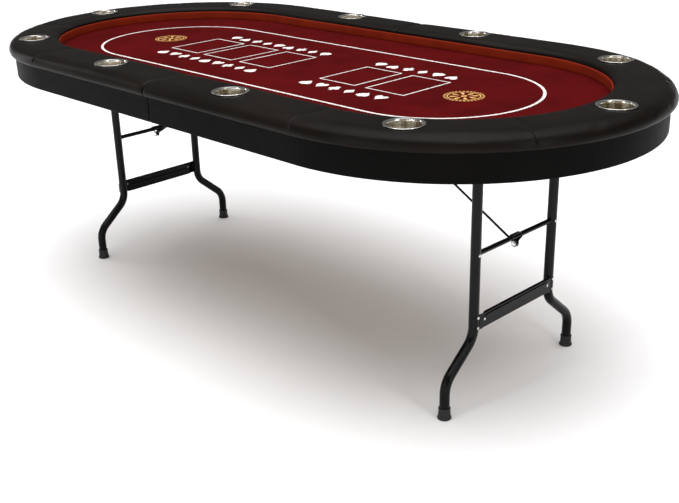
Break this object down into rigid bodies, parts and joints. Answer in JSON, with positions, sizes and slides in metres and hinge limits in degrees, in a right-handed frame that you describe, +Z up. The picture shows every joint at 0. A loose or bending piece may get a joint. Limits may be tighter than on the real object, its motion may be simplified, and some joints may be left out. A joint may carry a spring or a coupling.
{
  "type": "folding oval poker table",
  "caption": "Oval folding poker table: padded black rail with steel cup holders, dark red felt field, two hinged halves on folding steel legs with braces.",
  "frame": {"origin": "on the floor under the middle of the table, at the fold line", "axes": "+X along the length of the oval, +Y across its width, +Z up"},
  "size_m": [2.1338, 1.067, 0.762],
  "materials": {
    "rail_vinyl": "black embossed vinyl over foam",
    "apron_vinyl": "black vinyl over board",
    "felt": "dark red speed cloth over foam",
    "liner_fabric": "rust orange fabric-covered strip",
    "cup_steel": "polished stainless steel",
    "leg_paint": "gloss black powder coat",
    "zinc": "bright zinc plate",
    "tip_rubber": "matte black rubber",
    "deck_wood": "plywood and pine, unfinished"
  },
  "bodies": {
    "half_left": {"apron_left": "apron_vinyl", "cup_holder_left_front_arm": "cup_steel", "cup_holder_left_front_curve": "cup_steel", "cup_holder_left_nose": "cup_steel", "cup_holder_left_rear_arm": "cup_steel", "cup_holder_left_rear_curve": "cup_steel", "deck_panel_left": "deck_wood", "end_batten_left": "deck_wood", "fold_beam_left": "deck_wood", "hinge_leaves_left": "zinc", "leg_brackets_left": "zinc", "leg_pivot_bolts_left": "zinc", "playing_surface_left": "felt", "rail_core_left": "deck_wood", "rail_liner_left": "liner_fabric", "rail_pad_left": "rail_vinyl", "stay_anchor_left": "zinc", "stay_anchor_pin_left": "zinc", "hinge_pins": "zinc"},
    "leg_left": {"crossbar_left": "leg_paint", "foot_tip_left_front": "tip_rubber", "foot_tip_left_rear": "tip_rubber", "leg_tube_left_front": "leg_paint", "leg_tube_left_rear": "leg_paint", "stay_bolt_left": "zinc", "stay_tab_left": "leg_paint", "stretcher_left": "leg_paint", "stretcher_rivets_left": "zinc"},
    "stay_rod_left_body": {"stay_rod_left": "leg_paint"},
    "stay_link_left_body": {"stay_link_left": "leg_paint"},
    "half_right": {"apron_right": "apron_vinyl", "cup_holder_right_front_arm": "cup_steel", "cup_holder_right_front_curve": "cup_steel", "cup_holder_right_nose": "cup_steel", "cup_holder_right_rear_arm": "cup_steel", "cup_holder_right_rear_curve": "cup_steel", "deck_panel_right": "deck_wood", "end_batten_right": "deck_wood", "fold_beam_right": "deck_wood", "hinge_leaves_right": "zinc", "leg_brackets_right": "zinc", "leg_pivot_bolts_right": "zinc", "playing_surface_right": "felt", "rail_core_right": "deck_wood", "rail_liner_right": "liner_fabric", "rail_pad_right": "rail_vinyl", "stay_anchor_pin_right": "zinc", "stay_anchor_right": "zinc"},
    "leg_right": {"crossbar_right": "leg_paint", "foot_tip_right_front": "tip_rubber", "foot_tip_right_rear": "tip_rubber", "leg_tube_right_front": "leg_paint", "leg_tube_right_rear": "leg_paint", "stay_bolt_right": "zinc", "stay_tab_right": "leg_paint", "stretcher_right": "leg_paint", "stretcher_rivets_right": "zinc"},
    "stay_rod_right_body": {"stay_rod_right": "leg_paint"},
    "stay_link_right_body": {"stay_link_right": "leg_paint"}
  },
  "joints": [
    {"name": "half_fold", "type": "hinge", "parent": "half_left", "child": "half_right", "pos_m": [0, 0, 0.655], "axis": [0, 1, 0], "range_deg": [0, 90]},
    {"name": "leg_fold_left", "type": "hinge", "parent": "half_left", "child": "leg_left", "pos_m": [-0.745, 0, 0.674], "axis": [0, -1, 0], "range_deg": [0, 90]},
    {"name": "stay_rod_fold_left", "type": "hinge", "parent": "leg_left", "child": "stay_rod_left_body", "pos_m": [-0.745, 0, 0.377], "axis": [0, 1, 0], "range_deg": [0, 119.59]},
    {"name": "stay_link_fold_left", "type": "hinge", "parent": "half_left", "child": "stay_link_left_body", "pos_m": [-0.222, 0, 0.674], "axis": [0, -1, 0], "range_deg": [0, 150.41]},
    {"name": "leg_fold_right", "type": "hinge", "parent": "half_right", "child": "leg_right", "pos_m": [0.745, 0, 0.674], "axis": [0, 1, 0], "range_deg": [0, 90]},
    {"name": "stay_rod_fold_right", "type": "hinge", "parent": "leg_right", "child": "stay_rod_right_body", "pos_m": [0.745, 0, 0.377], "axis": [0, -1, 0], "range_deg": [0, 119.59]},
    {"name": "stay_link_fold_right", "type": "hinge", "parent": "half_right", "child": "stay_link_right_body", "pos_m": [0.222, 0, 0.674], "axis": [0, 1, 0], "range_deg": [0, 150.41]}
  ],
  "couplings": [
    {"joint": "stay_rod_fold_left", "follows": "leg_fold_left", "ratio": 1.3288},
    {"joint": "stay_link_fold_left", "follows": "leg_fold_left", "ratio": 1.6712},
    {"joint": "stay_rod_fold_right", "follows": "leg_fold_right", "ratio": 1.3288},
    {"joint": "stay_link_fold_right", "follows": "leg_fold_right", "ratio": 1.6712}
  ]
}
